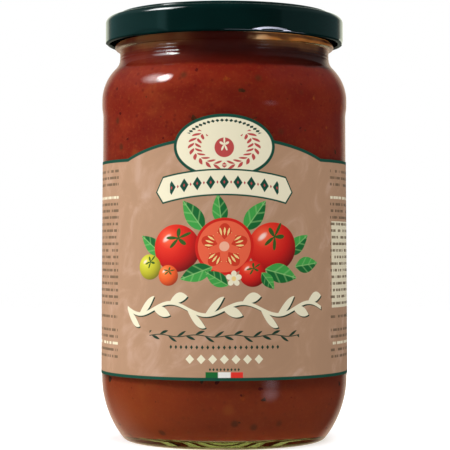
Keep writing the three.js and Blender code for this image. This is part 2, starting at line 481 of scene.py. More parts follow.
class Cloud(NamedTuple):
    """Noise over the object's own coordinates, which shows where it rises from low to high.

    There are about scale lumps to a metre, each lower than wide by the squeeze.
    """

    scale: float
    low: float = 0.0
    high: float = 1.0
    strength: float = 1.0
    detail: float = 2.0
    roughness: float = 0.55
    squeeze: float = 1.0

    def noise(self, start):
        """The bare noise."""
        flat = start.node("ShaderNodeMapping", None,
                          {"Vector": object_place(start), "Scale": (1.0, 1.0, self.squeeze)})
        return start.node("ShaderNodeTexNoise", None, {
            "Vector": flat, "Scale": self.scale, "Detail": self.detail, "Roughness": self.roughness})

    def mask(self, start):
        """How strongly the pattern shows."""
        return self.noise(start).step(self.low, self.high) * self.strength


class Spots(NamedTuple):
    """Soft round spots, at most one in a cell of 1 / scale metres, and only in a share of the cells."""

    scale: float
    reach: float
    share: float
    strength: float
    core: float = 0.3

    def mask(self, start):
        """How strongly the pattern shows."""
        far = start.node("ShaderNodeTexVoronoi", None, {"Vector": object_place(start), "Scale": self.scale})
        chance = start.node("ShaderNodeSeparateColor", None, {0: far.other("Color")})
        spot = 1.0 - far.step(self.reach * self.core, self.reach)
        return spot * chance.math("LESS_THAN", self.share) * self.strength


# Glass

def panel_radius(sizes, height):
    """Radius of the label panel: a straight taper from its foot to its head."""
    share = (height - sizes.panel_foot) / (sizes.panel_head - sizes.panel_foot)
    return sizes.panel_foot_radius + share * (sizes.panel_head_radius - sizes.panel_foot_radius)


def wall_arcs(sizes, offset, corner_radius, corner_foot):
    """Centres and angles of the wall's arcs, drawn in by an offset, each running smoothly into the next."""
    heel = np.array((sizes.body_radius - sizes.heel_radius, sizes.heel_top))
    reach = sizes.heel_radius - offset - corner_radius
    heel_angle = math.asin((sizes.heel_top - corner_foot - corner_radius) / reach)
    corner = np.array((heel[0] + reach * math.cos(heel_angle), corner_foot + corner_radius))
    shoulder = np.array((sizes.body_radius - sizes.shoulder_radius, sizes.shoulder_start))
    span = sizes.shoulder_radius + sizes.neck_fillet
    neck_x = sizes.neck_radius + sizes.neck_fillet
    shoulder_angle = math.acos((neck_x - shoulder[0]) / span)
    neck = np.array((neck_x, sizes.shoulder_start + span * math.sin(shoulder_angle)))
    return heel, heel_angle, corner, shoulder, shoulder_angle, neck


def cavity(sizes, inset, top):
    """Profile of the jar's inside from a height in the neck down to the middle of its floor."""
    offset = sizes.wall + inset
    floor = sizes.floor_height + inset
    bore = sizes.neck_radius - offset
    side = sizes.body_radius - offset
    heel, heel_angle, corner, shoulder, shoulder_angle, neck = wall_arcs(
        sizes, offset, sizes.floor_corner, floor)
    return joined(
        line((bore, top), (bore, neck[1])),
        arc(neck, sizes.neck_fillet + offset, math.pi, math.pi + shoulder_angle),
        arc(shoulder, sizes.shoulder_radius - offset, shoulder_angle, 0.0),
        line((side, sizes.shoulder_start), (side, sizes.heel_top), HIDDEN_STEPS),
        arc(heel, sizes.heel_radius - offset, 0.0, -heel_angle),
        arc(corner, sizes.floor_corner, -heel_angle, -QUARTER),
        line((corner[0], floor), (0.0, floor)),
    )


def body_side(sizes):
    """Outside of the body from heel to shoulder, with a soft step into the label panel at both its ends."""
    height = np.linspace(sizes.heel_top, sizes.shoulder_start, BODY_ROWS)
    over_foot = smoothstep(sizes.heel_top, sizes.panel_foot, height)
    ease = sizes.panel_ease
    over_head = smoothstep(sizes.panel_head - ease, sizes.shoulder_foot + ease, height)
    in_panel = over_foot * (1.0 - over_head)
    radius = sizes.body_radius + in_panel * (panel_radius(sizes, height) - sizes.body_radius)
    return np.stack([radius, height], -1)


def throat(sizes, neck, shoulder_angle):
    """Outside of the neck from shoulder to bead. Each ridge adds the square of a cosine to the radius."""
    hollow = sizes.bead_hollow
    hollow_at = (sizes.neck_radius + hollow, sizes.bead_height - sizes.bead_half - hollow)
    points = joined(
        arc(neck, sizes.neck_fillet, math.pi + shoulder_angle, math.pi, NECK_STEPS),
        line((sizes.neck_radius, neck[1]), (sizes.neck_radius, hollow_at[1])),
        arc(hollow_at, hollow, math.pi, QUARTER, HOLLOW_STEPS),
    )
    for ridge in range(sizes.ridge_count):
        off = (points[:, 1] - sizes.ridge_height - ridge * sizes.ridge_pitch) / (sizes.ridge_pitch / 2.0)
        points[:, 0] += sizes.ridge_swell * np.cos(QUARTER * np.clip(off, -1.0, 1.0)) ** 2
    return points


def jar_profile(sizes):
    """Outline of the glass: out under the base, up the outside, over the rim and down the inside."""
    heel, heel_angle, corner, shoulder, shoulder_angle, neck = wall_arcs(sizes, 0.0, sizes.foot_corner, 0.0)
    bore = sizes.neck_radius - sizes.wall
    lip = (sizes.finish_radius - bore) / 2.0
    bead = (sizes.bead_radius - sizes.bead_half, sizes.bead_height)
    share = np.linspace(0.0, 1.0, ARC_STEPS + 1)
    dish = np.stack([share * sizes.foot_inner_radius, sizes.push_up * np.cos(QUARTER * share) ** 2], -1)
    return joined(
        dish,
        line((sizes.foot_inner_radius, 0.0), (corner[0], 0.0), FOOT_STEPS),
        arc(corner, sizes.foot_corner, -QUARTER, -heel_angle),
        arc(heel, sizes.heel_radius, -heel_angle, 0.0),
        body_side(sizes),
        arc(shoulder, sizes.shoulder_radius, 0.0, shoulder_angle),
        throat(sizes, neck, shoulder_angle),
        arc(bead, sizes.bead_half, -QUARTER, QUARTER),
        line((sizes.finish_radius, bead[1] + sizes.bead_half), (sizes.finish_radius, RIM_HEIGHT - lip)),
        arc((bore + lip, RIM_HEIGHT - lip), lip, 0.0, math.pi),
        cavity(sizes, 0.0, sizes.bead_height),
    )


def glass_material(sizes):
    """Clear glass that takes on its tint with depth and lets lamps reach the sauce."""
    material, shader, start = new_material("clear_glass")
    feed(shader, {"Base Color": (*WHITE, 1.0), "Roughness": 0.0, "IOR": sizes.refraction,
                  "Transmission Weight": 1.0})
    rays = start.node("ShaderNodeLightPath", output="Is Shadow Ray")
    let_through = rays.math("MAXIMUM", rays.other("Is Diffuse Ray"))
    solid = Value(start.tree, shader.outputs["BSDF"])
    open_way = start.node("ShaderNodeBsdfTransparent", None, {"Color": (*sizes.clear, 1.0)})
    surface = start.node("ShaderNodeMixShader", None, {0: let_through, 1: solid, 2: open_way})
    depth = start.node("ShaderNodeVolumeAbsorption", None,
                       {"Color": (*sizes.tint, 1.0), "Density": sizes.tint_density})
    output = next(node for node in start.tree.nodes if node.type == "OUTPUT_MATERIAL")
    feed(output, {"Surface": surface, "Volume": depth})
    return material


class JAR_OT_glass(Operator):
    """Turns the glass jar from its profile"""

    bl_idname = "jar.glass"
    bl_label = "Glass Jar"

    def execute(self, context):
        sizes = context.scene.jar_sizes
        points, faces = revolved(jar_profile(sizes))
        new_piece("glass_jar", points, faces, glass_material(sizes), "clear_glass", "jar_glass")
        return {"FINISHED"}


# Sauce

# Patterns in the sauce and on its bits
STREAKS = Cloud(scale=70.0, low=0.3, high=0.7, detail=5.0, roughness=0.6, squeeze=1.8)
PATCHES = Cloud(scale=60.0, low=0.58, high=0.74, strength=0.4)
PULP = Cloud(scale=420.0, low=0.45, high=0.75, strength=0.55, detail=3.0)
GRAINS = Cloud(scale=1100.0, low=0.5, high=0.8, strength=0.5)
SKIN_DOTS = Spots(scale=400.0, reach=0.32, share=0.45, strength=0.6)
ORANGE_DOTS = Spots(scale=62.0, reach=0.17, share=0.4, strength=0.5)
HERB_DOTS = Spots(scale=130.0, reach=0.24, share=0.5, strength=0.7)
# Patches of the oil under the lid, partly painted light
OIL_FILM = Cloud(scale=60.0, low=0.3, high=0.56)
# Patches of the painted glow under the lid
GLEAM_FILM = Cloud(scale=260.0, low=0.3, high=0.56, squeeze=2.5)
MOTTLE = Cloud(scale=900.0, low=0.35, high=0.65)

# The uneven line between body and neck, where the painted shadow of the lid begins, and its share in the
# lines above it
WAVE = Cloud(scale=90.0)
WAVE_HEIGHT = 2.0 * MM
OIL_WAVE = 2.0
GLEAM_WAVE = 0.6

# Where each part of the colour starts and ends: a side is a place across the jar, a line is a height
# Painted shade that darkens the right side of the sauce
PAINTED_SHADE_SIDE = (-32.0 * MM, 20.0 * MM)
# The heel, laid orange: partly the sauce's own tone, partly painted light, more on the left
HEEL_SIDE = (-40.0 * MM, 0.0)
HEEL_LINE = (8.0 * MM, 50.0 * MM)
# Painted shadow of the lid in the neck: where it lies across the jar and in height
NECK_SIDE = (-28.0 * MM, 0.0)
NECK_LINE = (129.9 * MM, 131.3 * MM)
# Painted shade at the right of the neck
DARK_NECK_SIDE = (4.0 * MM, 30.0 * MM)
# Oil under the lid, partly painted light, and the painted glow through it
OIL_SIDE = (4.0 * MM, 20.0 * MM)
OIL_LINE = (137.0 * MM, 140.0 * MM)
GLEAM_SIDE = (7.0 * MM, 12.0 * MM)
GLEAM_LINE = (141.0 * MM, 141.5 * MM)
GOLD_SIDE = (11.0 * MM, 17.0 * MM)

# How strongly those parts show
# Painted shade on the right side of the sauce
PAINTED_SHADE_STRENGTH = 0.4
# The heel, partly painted light: its share, and how much less of it shows on the right
HEEL_STRENGTH = 0.66
HEEL_LOSS = 0.28
# Painted shadow of the lid in the neck: the share of it on the left
NECK_LEFT = 0.45
# Painted shade at the right of the neck: how strongly it shows
DARK_NECK_STRENGTH = 0.6
# Oil under the lid, partly painted light
OIL_STRENGTH = 0.65

# Bits in the sauce
FLECK_RIM = 10
FLECK_RIPPLE = (0.5, 1.0)
FLECK_SIZE_POWER = 3
FLECK_LIFT = 0.04 * MM
FLECK_DARK = 0.6
FLECK_LEAST_RADIUS = 25.0 * MM
FLECK_TOP = 129.0 * MM


class FleckSize(NamedTuple):
    """Smallest and largest rim radius of a kind of bit, and how long it may be drawn out."""

    small: float
    large: float
    stretch: float


HERB_SIZE = FleckSize(small=0.2 * MM, large=1.5 * MM, stretch=2.2)
SKIN_SIZE = FleckSize(small=0.2 * MM, large=1.1 * MM, stretch=1.8)
CARROT_SIZE = FleckSize(small=0.3 * MM, large=1.6 * MM, stretch=1.4)


def sauce_profile(sizes, look):
    """Profile of the sauce from the middle of the floor up the wall and over its level top.

    It reaches into the wall, but stands off the floor by a hair, so that the thick base pipes light.
    """
    wall = cavity(sizes, -look.reach, SAUCE_LEVEL)[::-1]
    low = sizes.floor_height + look.floor_bevel
    off_floor = 1.0 - smoothstep(low - look.floor_run, low, wall[:, 1])
    wall[:, 1] += (look.reach + look.floor_gap) * off_floor
    return joined(wall, line(wall[-1], (0.0, SAUCE_LEVEL)))


def sauce_material(look):
    """Cooked tomato: streaks of two reds, fine pulp and sunk bits, painted shade on the right side and in
    the neck under the lid, a heel laid orange partly as painted light, oil under the lid painted lighter at
    the sides, and a painted glow through that oil.
    """
    material, shader, start = new_material("tomato_sauce")
    across, _, height = parts_of(object_place(start))
    wave = (WAVE.noise(start) - 0.5) * WAVE_HEIGHT
    # Heel laid orange and brighter towards the foot and the left: partly the sauce's own tone, partly
    # painted light
    in_heel = (1.0 - height.step(*HEEL_LINE)) * (HEEL_STRENGTH - across.step(*HEEL_SIDE) * HEEL_LOSS)
    # Painted shadow of the lid: darker sauce above an uneven line in the neck
    lid_shadow_share = (height + wave).step(*NECK_LINE)
    # Oil under the lid at both sides: partly its own colour, partly painted light
    in_oil = (height + wave * OIL_WAVE).step(*OIL_LINE) * abs(across).step(*OIL_SIDE)
    # Painted glow: light through the oil under the lid at the right, drawn as emission
    in_gleam = (height + wave * GLEAM_WAVE).step(*GLEAM_LINE) * across.step(*GLEAM_SIDE)
    painted_gleam = in_gleam * GLEAM_FILM.mask(start)
    layers = (
        (PATCHES.mask(start), look.orange),
        (PULP.mask(start), look.deep),
        (GRAINS.mask(start), look.orange),
        (SKIN_DOTS.mask(start), look.skin),
        # Painted shade: the sauce darkens towards its right side
        (across.step(*PAINTED_SHADE_SIDE) * PAINTED_SHADE_STRENGTH, look.skin),
        (in_heel, look.orange),
        (ORANGE_DOTS.mask(start), look.orange),
        (HERB_DOTS.mask(start), look.herb),
        # Painted shadow of the lid in the neck, lighter on the left
        (lid_shadow_share * (NECK_LEFT + across.step(*NECK_SIDE) * (1.0 - NECK_LEFT)), look.neck),
        # Painted shade, deepest at the right of the neck
        (lid_shadow_share * across.step(*DARK_NECK_SIDE) * DARK_NECK_STRENGTH, look.dark_neck_shade),
        # Oil under the lid: partly its own colour, partly painted light
        (in_oil * OIL_FILM.mask(start) * OIL_STRENGTH, look.oil_and_light),
    )
    shade = STREAKS.mask(start).mix(look.deep, look.bright)
    for share, over in layers:
        shade = share.mix(shade, over)
    feed(shader, {
        "Base Color": shade,
        "Roughness": 0.5,
        "Specular IOR Level": 0.1,
        "Subsurface Weight": 0.7,
        "Subsurface Radius": (1.0, 0.35, 0.2),
        "Subsurface Scale": 3.0 * MM,
        # Painted glow standing in for light through the oil
        "Emission Color": painted_gleam.mix(BLACK, across.step(*GOLD_SIDE).mix(look.painted_gleam, look.gold)),
        "Emission Strength": look.glow,
    })
    return material


def fleck_material(name, shade):
    """One kind of bit in the sauce, mottled darker over its face."""
    material, shader, start = new_material(name)
    feed(shader, {
        "Base Color": MOTTLE.mask(start).mix(darker(shade, FLECK_DARK), shade),
        "Roughness": 0.6,
        "Specular IOR Level": 0.1,
    })
    return material


def scattered_flecks(random, profile, count, kind):
    """Points and faces of many thin flakes that lie on a turned wall.

    Each flake is a flat lens: a ring of rim points, with a middle point above and one below. Its rim radius
    is its size times a random ripple, one way is stretched, and the flat shape is turned and laid along the
    wall: first axis round the jar, second axis up the profile.
    """
    steps = np.linalg.norm(np.diff(profile, axis=0), axis=1)
    along = np.concatenate([[0.0], np.cumsum(steps)])
    area = np.cumsum(steps * profile[1:, 0])
    place = np.interp(random.random(count), area / area[-1], along[1:])

    def wall_point(where):
        """Radius and height at places along the profile."""
        return np.stack([np.interp(where, along, profile[:, part]) for part in range(2)], -1)

    base = wall_point(place)
    rise = wall_point(place + MM) - base
    rise /= np.linalg.norm(rise, axis=1, keepdims=True)
    out = np.stack([rise[:, 1], -rise[:, 0]], -1)
    turn = random.uniform(0.0, TURN, count)
    size = kind.small + (kind.large - kind.small) * random.random(count) ** FLECK_SIZE_POWER
    angle = np.arange(FLECK_RIM) * TURN / FLECK_RIM
    spin = random.uniform(0.0, TURN, (count, 1))
    ripple = size[:, None] * random.uniform(*FLECK_RIPPLE, (count, FLECK_RIM))
    flat_x = ripple * np.cos(angle) * random.uniform(1.0, kind.stretch, (count, 1))
    flat_y = ripple * np.sin(angle)
    middles = np.zeros((count, 2))
    x = np.concatenate([flat_x * np.cos(spin) - flat_y * np.sin(spin), middles], 1)
    y = np.concatenate([flat_x * np.sin(spin) + flat_y * np.cos(spin), middles], 1)
    dome = np.concatenate([np.zeros((count, FLECK_RIM)), middles + (FLECK_LIFT, -FLECK_LIFT)], 1)
    radius = base[:, :1] + rise[:, :1] * y + out[:, :1] * dome
    height = base[:, 1:] + rise[:, 1:] * y + out[:, 1:] * dome
    around = turn[:, None] + x / base[:, :1]
    points = np.stack([radius * np.sin(around), -radius * np.cos(around), height], -1).reshape(-1, 3)
    first = np.arange(count)[:, None] * (FLECK_RIM + 2)
    corner = first + np.arange(FLECK_RIM)
    following = first + (np.arange(FLECK_RIM) + 1) % FLECK_RIM
    top = np.broadcast_to(first + FLECK_RIM, corner.shape)
    upper = np.stack([top, corner, following], -1).reshape(-1, 3)
    lower = np.stack([top + 1, following, corner], -1).reshape(-1, 3)
    return points, np.concatenate([upper, lower]).tolist()


class JAR_OT_sauce(Operator):
    """Fills the jar with sauce up to its level"""

    bl_idname = "jar.sauce"
    bl_label = "Sauce"

    def execute(self, context):
        look = context.scene.sauce_look
        points, faces = revolved(sauce_profile(context.scene.jar_sizes, look))
        new_piece("sauce_fill", points, faces, sauce_material(look), "tomato_sauce", "sauce")
        return {"FINISHED"}


class JAR_OT_flecks(Operator):
    """Scatters herb flecks, skin bits and orange bits over the wall of the sauce"""

    bl_idname = "jar.flecks"
    bl_label = "Sauce Flecks"

    def execute(self, context):
        look = context.scene.sauce_look
        random = np.random.default_rng(SEED)
        profile = sauce_profile(context.scene.jar_sizes, look)
        wall = profile[(profile[:, 0] > FLECK_LEAST_RADIUS) & (profile[:, 1] < FLECK_TOP)]
        kinds = (
            ("herb_flecks", look.herb, look.herb_count, HERB_SIZE),
            ("skin_bits", look.skin, look.skin_count, SKIN_SIZE),
            ("carrot_bits", look.carrot, look.carrot_count, CARROT_SIZE),
        )
        for name, shade, count, kind in kinds:
            points, faces = scattered_flecks(random, wall, count, kind)
            new_piece(name, points, faces, fleck_material(name, shade), "tomato_sauce")
        return {"FINISHED"}


# Lid

LUG_FADE = 0.3
PAINT_CLOUD = Cloud(scale=70.0, low=0.3, high=0.7, detail=3.0)
PAINT_DARK = 0.8
WORN_EDGE = (0.58 * MM, 0.7 * MM)
WORN_COAT = 0.15


def lid_top(sizes, drop, steps):
    """The lid's upper face from the middle to the corner, lowered by a drop."""
    panel = sizes.panel - drop
    ring = LID_TOP - drop
    sunk = panel - sizes.button_depth
    dip = (sizes.dip_radius, sunk + sizes.dip_rise)
    ring_foot = sizes.ring_inner - sizes.ring_rise
    ring_edge = sizes.ring_outer - sizes.ring_fall
    return joined(
        ramp((0.0, sunk), dip, steps),
        ramp(dip, (sizes.button_radius, panel), steps),
        line((sizes.button_radius, panel), (ring_foot, panel), FLAT_STEPS),
        ramp((ring_foot, panel), (sizes.ring_inner, ring), steps),
        line((sizes.ring_inner, ring), (ring_edge, ring), FLAT_STEPS),
        ramp((ring_edge, ring), (sizes.ring_outer, sizes.shoulder - drop), steps),
    )


def lid_profile(sizes):
    """Outline of the pressed sheet: out under the top, round the curl, up the skirt and over the top."""
    corner = (sizes.radius - sizes.corner, sizes.shoulder - sizes.corner)
    curl = (sizes.radius - sizes.curl, LID_FOOT + sizes.curl)
    inner = sizes.radius - sizes.sheet
    return joined(
        lid_top(sizes, sizes.sheet, HIDDEN_STEPS),
        arc(corner, sizes.corner - sizes.sheet, QUARTER, 0.0),
        line((inner, corner[1]), (inner, curl[1] + sizes.curl), HIDDEN_STEPS),
        arc(curl, sizes.curl, math.pi, TURN),
        line((sizes.radius, curl[1]), (sizes.radius, corner[1]), SKIRT_STEPS),
        arc(corner, sizes.corner, 0.0, QUARTER),
        lid_top(sizes, 0.0, ARC_STEPS)[::-1],
    )


def lug_press(sizes):
    """How far the skirt is pressed in: an even slope from an arched line at each lug, then a flat pad."""
    pitch = TURN / sizes.lug_count

    def press(angle, radius, height):
        """Depth of the dents at points of the lid."""
        across = ((angle - sizes.lug_turn + pitch / 2.0) % pitch - pitch / 2.0) * sizes.radius
        arched = 1.0 - np.clip(across / sizes.lug_width, -1.0, 1.0) ** 2
        edge = LID_FOOT + sizes.lug_end + (sizes.lug_height - sizes.lug_end) * arched
        pad = np.clip((edge - height) / sizes.lug_slope, 0.0, 1.0) * smoothstep(0.0, LUG_FADE, arched)
        return sizes.lug_depth * pad * (radius > sizes.ring_outer)

    return press


def lacquer_material(sizes):
    """Dark green paint under a clear coat, which is worn off the rolled edge."""
    material, shader, start = new_material("green_lacquer")
    _, _, height = parts_of(object_place(start))
    coated = (height - LID_FOOT).step(*WORN_EDGE)
    feed(shader, {
        "Base Color": PAINT_CLOUD.mask(start).mix(darker(sizes.lacquer, PAINT_DARK), sizes.lacquer),
        "Roughness": 0.6,
        "Specular IOR Level": 0.0,
        "Coat Weight": WORN_COAT + coated * (1.0 - WORN_COAT),
        "Coat Roughness": 0.12,
        "Coat IOR": 1.5,
    })
    return material


class JAR_OT_lid(Operator):
    """Presses the twist-off lid with its raised ring, rolled edge and lugs"""

    bl_idname = "jar.lid"
    bl_label = "Lid"

    def execute(self, context):
        sizes = context.scene.lid_sizes
        points, faces = revolved(lid_profile(sizes), LID_SIDES, lug_press(sizes))
        new_piece("twist_lid", points, faces, lacquer_material(sizes), "green_lacquer", "lid")
        return {"FINISHED"}


# Label

UV_NAME = "OFBake"
UV_SPAN = 290.0 * MM
UV_MIDDLE = 0.5
UV_BACK = 0.5
UV_RIM = 0.96


def label_top(look, across):
    """Upper edge: the highest of the level sides, a circular arch and an upright oval."""
    sag = np.sqrt(np.clip(look.arch_radius ** 2 - across ** 2, 0.0, None))
    arch = look.arch_crown - look.arch_radius + sag
    rise = np.sqrt(np.clip(1.0 - (across / look.oval_half_width) ** 2, 0.0, None))
    oval = np.where(rise > 0.0, look.oval_height + look.oval_half_height * rise, look.side_top)
    return np.maximum.reduce([np.full_like(across, look.side_top), arch, oval])


def label_columns(sizes, look):
    """Places across the sheet: even steps, and closer ones round the oval, with one on each kink."""
    fall = look.arch_radius - look.arch_crown + look.side_top
    kink = math.sqrt(look.arch_radius ** 2 - fall ** 2)
    end = math.pi * sizes.panel_foot_radius - look.back_gap / 2.0
    even = np.linspace(-end, end, LABEL_COLUMNS)
    oval = look.oval_half_width * np.sin(np.linspace(-QUARTER, QUARTER, OVAL_COLUMNS))
    return np.unique(np.concatenate([even, oval, [-kink, kink]]).round(COLUMN_DIGITS))


def label_sheet(sizes, look):
    """Points, faces and map of the paper.

    The sheet's point at a place across s and a share t of its height lies at the angle s / R on the tapered
    panel, at the height foot + t (top(s) - foot). The outer and inner faces are two such grids, joined
    round their rims. The map shows the outer face flat, the inner face above it and the rim as a strip
    above both.
    """
    across = label_columns(sizes, look)
    share = np.linspace(0.0, 1.0, LABEL_ROWS)[:, None]
    height = LABEL_FOOT + share * (label_top(look, across)[None, :] - LABEL_FOOT)
    angle = across[None, :] / sizes.panel_foot_radius
    layers = []
    for gap in (look.glue + look.sheet, look.glue):
        radius = panel_radius(sizes, height) + gap
        face = np.stack([radius * np.sin(angle), -radius * np.cos(angle), height], -1)
        layers.append(face.reshape(-1, 3))
    rows, columns = height.shape
    count = rows * columns
    outer = grid_quads(rows, columns, False)
    numbers = np.arange(count).reshape(rows, columns)
    rim = np.concatenate([numbers[0, :], numbers[1:, -1], numbers[-1, -2::-1], numbers[-2:0:-1, 0]])
    ahead = np.roll(rim, -1)
    edge = np.stack([ahead, rim, rim + count, ahead + count], -1)
    flat = np.stack([np.broadcast_to(across, height.shape), height], -1).reshape(-1, 2) / UV_SPAN
    flat += (UV_MIDDLE, 0.0)
    place = np.arange(len(rim)) / len(rim)
    following = place + 1.0 / len(rim)
    low = np.full(len(rim), UV_RIM)
    high = low + look.sheet / UV_SPAN
    corners = ((following, low), (place, low), (place, high), (following, high))
    strip = np.stack([np.stack(corner, -1) for corner in corners], 1)
    flat_map = np.concatenate([flat[outer], flat[outer[:, ::-1]] + (0.0, UV_BACK), strip])
    faces = np.concatenate([outer, outer[:, ::-1] + count, edge])
    return np.concatenate(layers), faces.tolist(), flat_map.reshape(-1, 2)


# Print on the label, in millimetres across from the front and up from the table

PRINT_SPAN = UV_SPAN / MM
SOFT_EDGE = 0.12
LINE_WIDTH = 1.05
GLUED_FROM = (0.45 * PRINT_SPAN, 0.46 * PRINT_SPAN)
INK = {
    "cream": srgb(236, 228, 198),
    "green": srgb(16, 74, 58),
    "dark green": srgb(24, 58, 44),
    "brick": srgb(186, 72, 70),
    "leaf": srgb(64, 158, 70),
    "leaf shade": srgb(22, 104, 48),
    "vein": srgb(142, 200, 120),
    "calyx": srgb(52, 92, 34),
    "skin": srgb(206, 30, 22),
    "flesh": srgb(232, 98, 66),
    "pulp": srgb(204, 56, 34),
    "seed": srgb(240, 208, 136),
    "core": srgb(240, 176, 146),
    "gloss": srgb(255, 226, 214),
    "bar": srgb(112, 92, 70),
    "stripe white": srgb(236, 232, 226),
    "stripe red": srgb(226, 52, 40),
}

# Colours of a ball from its lit side to its far side
BALL_PLACES = (0.0, 0.3, 0.65, 1.0)
RED_BALL = (srgb(250, 112, 74), srgb(228, 52, 34), srgb(200, 26, 20), srgb(112, 10, 12))
GOLD_BALL = (srgb(232, 226, 96), srgb(208, 204, 58), srgb(178, 172, 40), srgb(118, 112, 30))
ORANGE_BALL = (srgb(255, 160, 96), srgb(240, 112, 52), srgb(222, 86, 36), srgb(150, 50, 24))


class Leaf(NamedTuple):
    """A leaf's middle, its turn and half its length and width."""

    across: float
    up: float
    turn: float
    half_length: float
    half_width: float


class Ball(NamedTuple):
    """A round fruit's middle, its radius, its colours and the turn of its sepals."""

    across: float
    up: float
    radius: float
    shades: tuple
    calyx_turn: float


BACK_LEAVES = (
    Leaf(-10.5, 79.5, 2.2, 6.4, 3.0),
    Leaf(10.5, 79.5, 0.94, 6.4, 3.0),
    Leaf(-1.5, 81.5, 1.7, 5.4, 2.6),
    Leaf(-26.0, 69.5, 2.5, 5.6, 2.6),
    Leaf(26.5, 69.8, 0.64, 5.6, 2.7),
    Leaf(30.5, 63.0, 0.12, 5.2, 2.7),
)
FRONT_LEAVES = (
    Leaf(-9.6, 60.2, 3.5, 6.0, 2.9),
    Leaf(-2.6, 58.4, 2.6, 4.6, 2.4),
    Leaf(20.0, 60.0, -0.25, 6.2, 3.2),
    Leaf(15.0, 57.6, -0.9, 3.6, 2.0),
)
BIG_BALLS = (
    Ball(-16.5, 68.6, 8.0, RED_BALL, 0.4),
    Ball(16.8, 69.0, 8.3, RED_BALL, 1.1),
)
SMALL_BALLS = (
    Ball(-27.0, 62.2, 4.3, GOLD_BALL, 0.8),
    Ball(-19.6, 59.4, 3.5, ORANGE_BALL, 0.2),
    Ball(9.6, 60.0, 4.4, RED_BALL, 0.6),
)


def within(far, reach, unit=1.0):
    """1 where a distance is below a reach, with a soft edge. One step of it is unit millimetres long."""
    slope = unit / SOFT_EDGE
    return far.math("MULTIPLY_ADD", -slope, 0.5 + reach * slope, clamp=True)


class Sheet:
    """The flat sheet and the colour laid on it so far."""

    def __init__(self, place, shade):
        self.place = place
        self.across, self.up, _ = parts_of(place)
        self.shade = shade

    def ink(self, mask, shade):
        """Lays a colour on the sheet where the mask is 1."""
        self.shade = mask.mix(self.shade, shade)

    def seen_from(self, across, up, turn=0.0, wide=1.0, high=1.0):
        """Places on the sheet measured from a point on it, along turned axes, in units of wide and high."""
        return self.place.node("ShaderNodeMapping", {"vector_type": "TEXTURE"}, {
            "Vector": self.place, "Location": (across, up, 0.0), "Rotation": (0.0, 0.0, turn),
            "Scale": (wide, high, 1.0)})

    def far_from(self, across, up):
        """Distance from a point on the sheet."""
        return distance(self.place, (across, up, 0.0))


def leaf(sheet, form):
    """A leaf with a midrib, veins and a dark half.

    Its half width is (1 - u^2)(1 - u / 4) along its length u.
    """
    taper = 0.25
    fold = 0.2
    vein_rate = 11.0
    vein_slant = 5.0
    vein_edge = (0.6, 1.0)
    vein_strength = 0.4
    midrib = 0.06
    midrib_strength = 0.7
    u, v, _ = parts_of(sheet.seen_from(*form))
    side = abs(v)
    edge = side - (1.0 - u * u) * (1.0 - u.math("MINIMUM", 1.0) * taper)
    shade = v.step(-fold, fold).mix(INK["leaf shade"], INK["leaf"])
    veins = (u * vein_rate - side * vein_slant).math("SINE")
    shade = (veins.step(*vein_edge) * vein_strength).mix(shade, INK["vein"])
    shade = (within(side, midrib, form.half_width) * midrib_strength).mix(shade, INK["vein"])
    sheet.ink(within(edge, 0.0, form.half_width), shade)


def star(sheet, across, up, turn, wide, high, core, power, shade):
    """A star of five rays: its radius is core + (1 - core) |cos(5 a / 2)|^power at the angle a."""
    rays = 5.0
    at = sheet.seen_from(across, up, turn, wide, high)
    u, v, _ = parts_of(at)
    ray = abs((v.math("ARCTAN2", u) * (rays / 2.0)).math("COSINE")).math("POWER", power)
    sheet.ink(within(size_of(at) - ray * (1.0 - core), core, wide), shade)


def ball_fruit(sheet, ball):
    """A round fruit lit from the upper left, with a gloss and a star of sepals.

    Its sizes are shares of its radius.
    """
    across, up, radius, shades, calyx_turn = ball
    plump = 1.05
    light_at = (-0.36, 0.42, 0.0)
    light_fall = 0.66
    gloss_side = 0.45
    gloss_lift = 0.42
    gloss_turn = 0.7
    gloss_length = 0.3
    gloss_width = 0.14
    gloss_edge = (0.3, 1.0)
    gloss_strength = 0.85
    calyx_side = 0.08
    calyx_lift = 0.42
    at = sheet.seen_from(across, up, 0.0, radius * plump, radius)
    lit = distance(at, light_at) * light_fall
    sheet.ink(within(size_of(at), 1.0, radius), lit.colours(tuple(zip(BALL_PLACES, shades))))
    gloss = size_of(sheet.seen_from(across - gloss_side * radius, up + gloss_lift * radius, gloss_turn,
                                    gloss_length * radius, gloss_width * radius))
    sheet.ink((1.0 - gloss.step(*gloss_edge)) * gloss_strength, INK["gloss"])
    star(sheet, across + calyx_side * radius, up + calyx_lift * radius, calyx_turn, wide=0.62 * radius,
         high=0.4 * radius, core=0.1, power=2.5, shade=INK["calyx"])


def halved_fruit(sheet, across, up, radius):
    """A fruit cut across: skin, flesh, five seed chambers on a ring, their seeds and a pale core.

    Its sizes are shares of its radius.
    """
    plump = 1.04
    turned = 0.3
    flesh = 0.9
    ring = 0.53
    core = 0.17
    chambers = 5.0
    chamber_swing = 0.16
    chamber_half = 0.12
    seeds = 25.0
    seed_swing = 0.12
    seed_half = 0.02
    at = sheet.seen_from(across, up, turned, radius * plump, radius)
    far = size_of(at)
    u, v, _ = parts_of(at)
    angle = v.math("ARCTAN2", u)
    sheet.ink(within(far, 1.0, radius), INK["skin"])
    sheet.ink(within(far, flesh, radius), INK["flesh"])
    off = abs(far - ring)
    chamber = within(off - (angle * chambers).math("COSINE") * chamber_swing, chamber_half, radius)
    sheet.ink(chamber, INK["pulp"])
    seed = within(off - (angle * seeds).math("COSINE") * seed_swing, seed_half, radius)
    sheet.ink(chamber * seed, INK["seed"])
    sheet.ink(within(far, core, radius), INK["core"])


